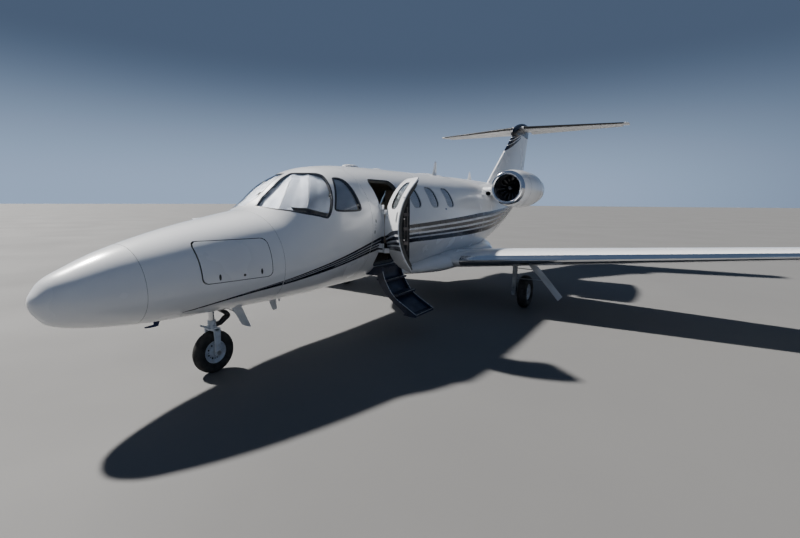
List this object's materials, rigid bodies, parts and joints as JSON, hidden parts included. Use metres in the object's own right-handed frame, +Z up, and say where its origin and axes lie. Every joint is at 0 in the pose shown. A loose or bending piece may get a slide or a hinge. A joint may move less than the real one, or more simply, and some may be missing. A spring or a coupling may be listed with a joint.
{
  "type": "light twin-engined business jet",
  "caption": "Light business jet with rear-mounted turbofans and a T-tail, parked on its gear with the entry door open and its stair down.",
  "frame": {"origin": "on the ground under the middle of the whole jet, as it stands on its three wheels", "axes": "+X to port, the span; +Y aft, from nose to tail; +Z up"},
  "size_m": [14.3, 12.98, 4.19],
  "materials": {
    "painted_skin": "gloss white paint over aluminium sheet, with near-black and silver stripes",
    "painted_nose": "gloss white paint over the nose, which is dense with equipment",
    "glazing": "clear stretched acrylic with a faint grey tint",
    "seat_leather": "beige leather and carpet",
    "cockpit_trim": "dark grey anti-glare trim",
    "stair_metal": "dark grey non-slip treads with bare edges",
    "polished_metal": "mirror-polished leading edge",
    "fan_metal": "brushed titanium-like blades",
    "engine_metal": "dark heat-stained casing",
    "gear_metal": "light grey painted forging with a chromed piston",
    "rim_paint": "pale blue-white wheel paint",
    "tyre_rubber": "black ribbed aircraft tyre"
  },
  "bodies": {
    "airframe": {"nose_cone": "painted_skin", "nose_section": "painted_nose", "cockpit_section": "painted_skin", "entry_section": "painted_skin", "cabin_section": "painted_skin", "tail_section": "painted_skin", "wing": "painted_skin", "belly_fairing": "painted_skin", "fin": "painted_skin", "stabilizer": "painted_skin", "nacelle_port": "painted_skin", "nacelle_starboard": "painted_skin", "pylon_port": "painted_skin", "pylon_starboard": "painted_skin", "nose_gear_door": "painted_skin", "main_gear_door_port": "painted_skin", "main_gear_door_starboard": "painted_skin", "windshield_port": "glazing", "windshield_starboard": "glazing", "cockpit_window_port": "glazing", "cockpit_window_starboard": "glazing", "window_band_port": "glazing", "window_band_starboard": "glazing", "cockpit_floor": "seat_leather", "cabin_floor": "seat_leather", "instrument_panel": "cockpit_trim", "entry_stair": "stair_metal", "intake_lip_port": "polished_metal", "intake_lip_starboard": "polished_metal", "engine_core_port": "engine_metal", "engine_core_starboard": "engine_metal", "nose_leg": "gear_metal", "main_leg_port": "gear_metal", "main_leg_starboard": "gear_metal"},
    "entry_door_body": {"entry_door": "painted_skin", "entry_door_window": "glazing"},
    "nose_steering": {"nose_fork": "gear_metal"},
    "nose_wheel": {"nose_rim": "rim_paint", "nose_tyre": "tyre_rubber"},
    "main_wheel_port": {"main_port_rim": "rim_paint", "main_port_tyre": "tyre_rubber"},
    "main_wheel_starboard": {"main_starboard_rim": "rim_paint", "main_starboard_tyre": "tyre_rubber"},
    "baggage_door_port_body": {"baggage_door_port": "painted_nose"},
    "baggage_door_starboard_body": {"baggage_door_starboard": "painted_nose"},
    "fan_port_body": {"fan_port": "fan_metal"},
    "fan_starboard_body": {"fan_starboard": "fan_metal"},
    "flap_port_body": {"flap_port": "painted_skin"},
    "flap_starboard_body": {"flap_starboard": "painted_skin"},
    "aileron_port_body": {"aileron_port": "painted_skin"},
    "aileron_starboard_body": {"aileron_starboard": "painted_skin"},
    "rudder_body": {"rudder": "painted_skin"},
    "elevator_port_body": {"elevator_port": "painted_skin"},
    "elevator_starboard_body": {"elevator_starboard": "painted_skin"}
  },
  "joints": [
    {"name": "entry_door_swing", "type": "hinge", "parent": "airframe", "child": "entry_door_body", "pos_m": [0.832, -3.03, 1.5], "axis": [0, 0, 1], "range_deg": [0, 130]},
    {"name": "nose_steer", "type": "hinge", "parent": "airframe", "child": "nose_steering", "pos_m": [0, -5.01, 0.5], "axis": [0, 0, 1], "range_deg": [-20, 20]},
    {"name": "nose_wheel_roll", "type": "hinge", "parent": "nose_steering", "child": "nose_wheel", "pos_m": [0, -5.01, 0.227], "axis": [1, 0, 0], "continuous": true},
    {"name": "main_wheel_port_roll", "type": "hinge", "parent": "airframe", "child": "main_wheel_port", "pos_m": [1.98, -0.34, 0.28], "axis": [1, 0, 0], "continuous": true},
    {"name": "main_wheel_starboard_roll", "type": "hinge", "parent": "airframe", "child": "main_wheel_starboard", "pos_m": [-1.98, -0.34, 0.28], "axis": [1, 0, 0], "continuous": true},
    {"name": "fan_port_spin", "type": "hinge", "parent": "airframe", "child": "fan_port_body", "pos_m": [1.13, 1.37, 2.1], "axis": [0, 1, 0], "continuous": true},
    {"name": "fan_starboard_spin", "type": "hinge", "parent": "airframe", "child": "fan_starboard_body", "pos_m": [-1.13, 1.37, 2.1], "axis": [0, 1, 0], "continuous": true},
    {"name": "flap_port_hinge", "type": "hinge", "parent": "airframe", "child": "flap_port_body", "pos_m": [0.96, 0.55888, 0.73408], "axis": [-0.9904, 0.1029, -0.092], "range_deg": [0, 60]},
    {"name": "flap_starboard_hinge", "type": "hinge", "parent": "airframe", "child": "flap_starboard_body", "pos_m": [-0.96, 0.55888, 0.73408], "axis": [-0.9904, -0.1029, 0.092], "range_deg": [0, 60]},
    {"name": "aileron_port_hinge", "type": "hinge", "parent": "airframe", "child": "aileron_port_body", "pos_m": [4.24, 0.21808, 1.07562], "axis": [0.9912, -0.103, 0.0832], "range_deg": [-20, 20]},
    {"name": "aileron_starboard_hinge", "type": "hinge", "parent": "airframe", "child": "aileron_starboard_body", "pos_m": [-4.24, 0.21808, 1.07562], "axis": [-0.9912, -0.103, 0.0832], "range_deg": [-20, 20]},
    {"name": "elevator_port_hinge", "type": "hinge", "parent": "airframe", "child": "elevator_port_body", "pos_m": [0.13, 6.1958, 4.005], "axis": [-0.998, -0.0637, 0], "range_deg": [-32, 3]},
    {"name": "elevator_starboard_hinge", "type": "hinge", "parent": "airframe", "child": "elevator_starboard_body", "pos_m": [-0.13, 6.1958, 4.005], "axis": [-0.998, 0.0637, 0], "range_deg": [-32, 3]},
    {"name": "rudder_hinge", "type": "hinge", "parent": "airframe", "child": "rudder_body", "pos_m": [0, 5.37, 2.26], "axis": [0, 0.3292, 0.9442], "range_deg": [-25, 25]},
    {"name": "baggage_door_port_hinge", "type": "hinge", "parent": "airframe", "child": "baggage_door_port_body", "pos_m": [0.38834, -5.33174, 1.44986], "axis": [-0.3204, -0.9473, 0], "range_deg": [0, 100]},
    {"name": "baggage_door_starboard_hinge", "type": "hinge", "parent": "airframe", "child": "baggage_door_starboard_body", "pos_m": [-0.38834, -5.33174, 1.44986], "axis": [-0.3204, 0.9473, 0], "range_deg": [0, 100]}
  ],
  "couplings": [
    {"joint": "flap_starboard_hinge", "follows": "flap_port_hinge", "ratio": 1},
    {"joint": "aileron_starboard_hinge", "follows": "aileron_port_hinge", "ratio": 1},
    {"joint": "elevator_starboard_hinge", "follows": "elevator_port_hinge", "ratio": 1}
  ]
}
